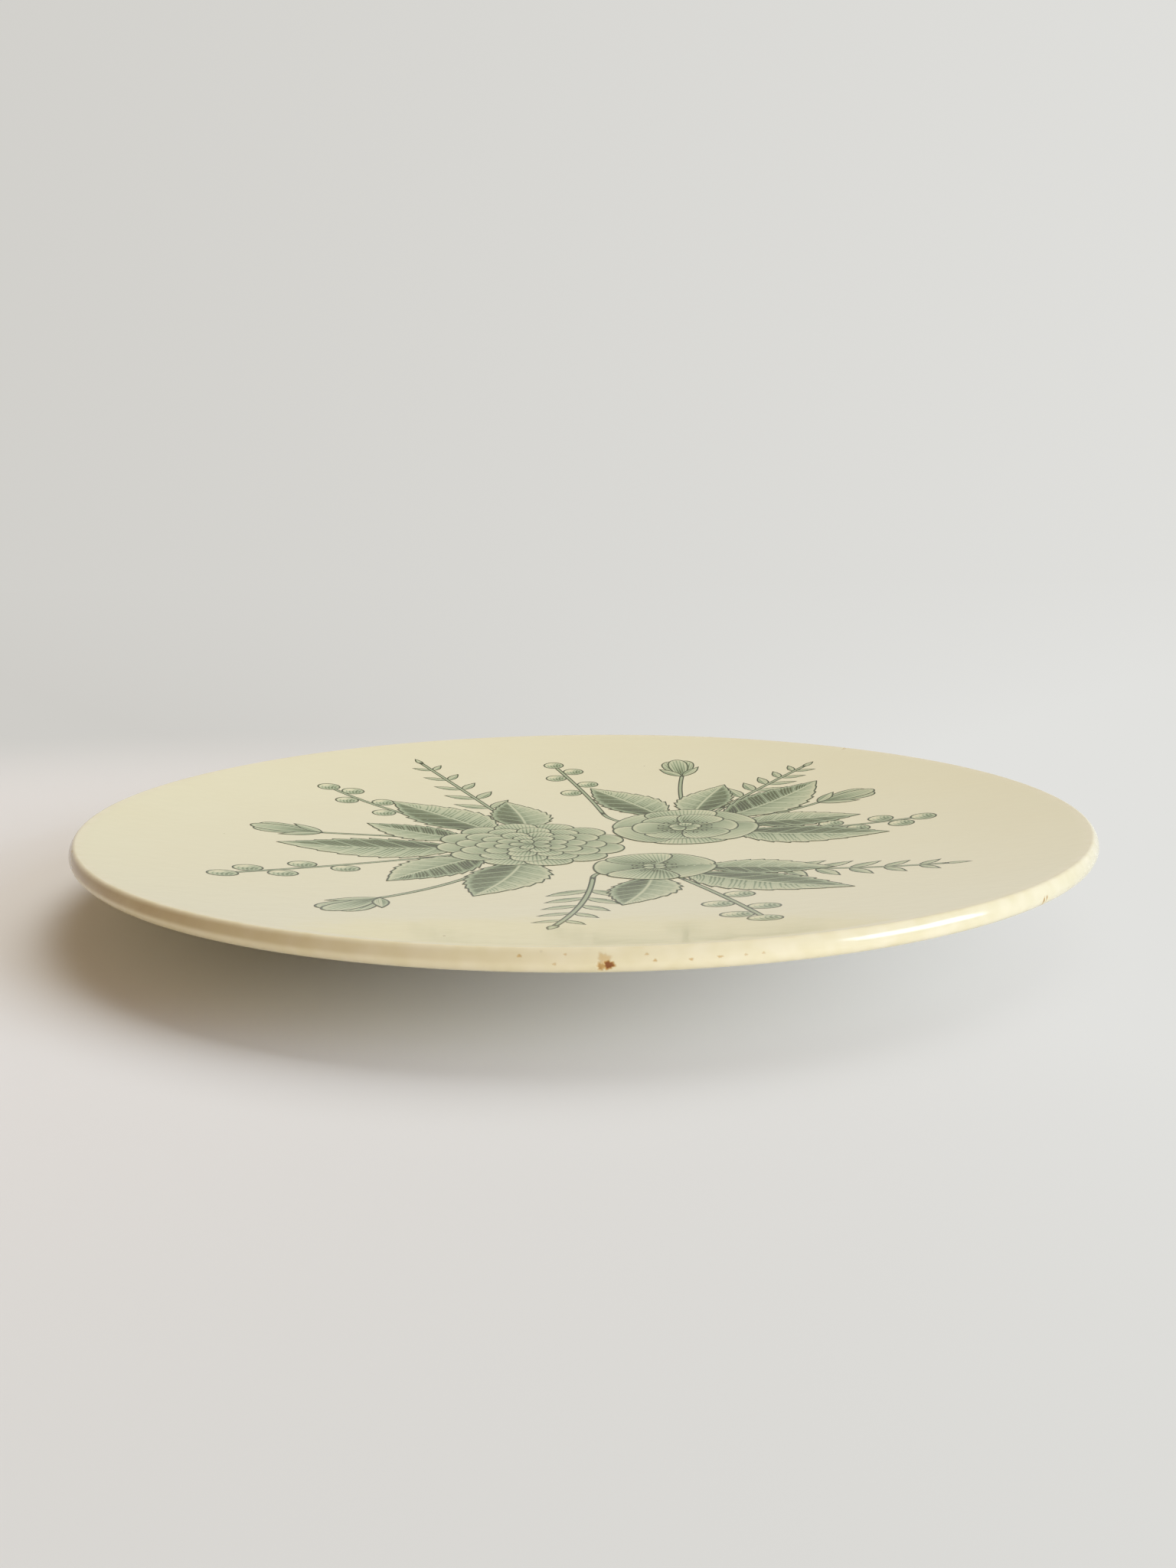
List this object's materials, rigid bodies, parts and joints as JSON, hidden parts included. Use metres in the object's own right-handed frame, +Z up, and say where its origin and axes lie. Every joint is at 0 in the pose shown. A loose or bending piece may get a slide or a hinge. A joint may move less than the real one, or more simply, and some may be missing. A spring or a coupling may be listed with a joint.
{
  "type": "ironstone dish",
  "caption": "Round glazed coupe dish with a gently hollow face, thick rounded edge, foot ring and a printed spray of flowers on the face.",
  "frame": {"origin": "middle of the plane that the foot ring stands on", "axes": "+Z up, out of the face; +X to the right and +Y away from the viewer of the picture"},
  "size_m": [0.27, 0.27, 0.0215],
  "materials": {
    "ironstone_biscuit": "fired white clay, bare and fine grained",
    "cream_glaze": "glossy cream glaze, lightly worn at the edge",
    "green_ink": "grey-green ceramic ink, as glossy as the glaze"
  },
  "bodies": {
    "root": {"biscuit_body": "ironstone_biscuit", "outer_glaze": "cream_glaze", "foot_well_glaze": "cream_glaze", "ink_dahlia": "green_ink", "ink_anemone": "green_ink", "ink_windflower": "green_ink", "ink_leaf_1": "green_ink", "ink_leaf_2": "green_ink", "ink_leaf_3": "green_ink", "ink_leaf_4": "green_ink", "ink_leaf_5": "green_ink", "ink_leaf_6": "green_ink", "ink_leaf_7": "green_ink", "ink_leaf_8": "green_ink", "ink_leaf_9": "green_ink", "ink_leaf_10": "green_ink", "ink_leaf_11": "green_ink", "ink_leaf_12": "green_ink", "ink_leaf_13": "green_ink", "ink_leaf_14": "green_ink", "ink_bud_left": "green_ink", "ink_bud_near": "green_ink", "ink_bud_right": "green_ink", "ink_bud_far": "green_ink", "ink_spray_far": "green_ink", "ink_spray_far_left": "green_ink", "ink_spray_near_left": "green_ink", "ink_spray_near_right": "green_ink", "ink_spray_right": "green_ink", "ink_frond_far_left": "green_ink", "ink_frond_near": "green_ink", "ink_frond_near_right": "green_ink", "ink_frond_far_right": "green_ink"}
  },
  "joints": []
}
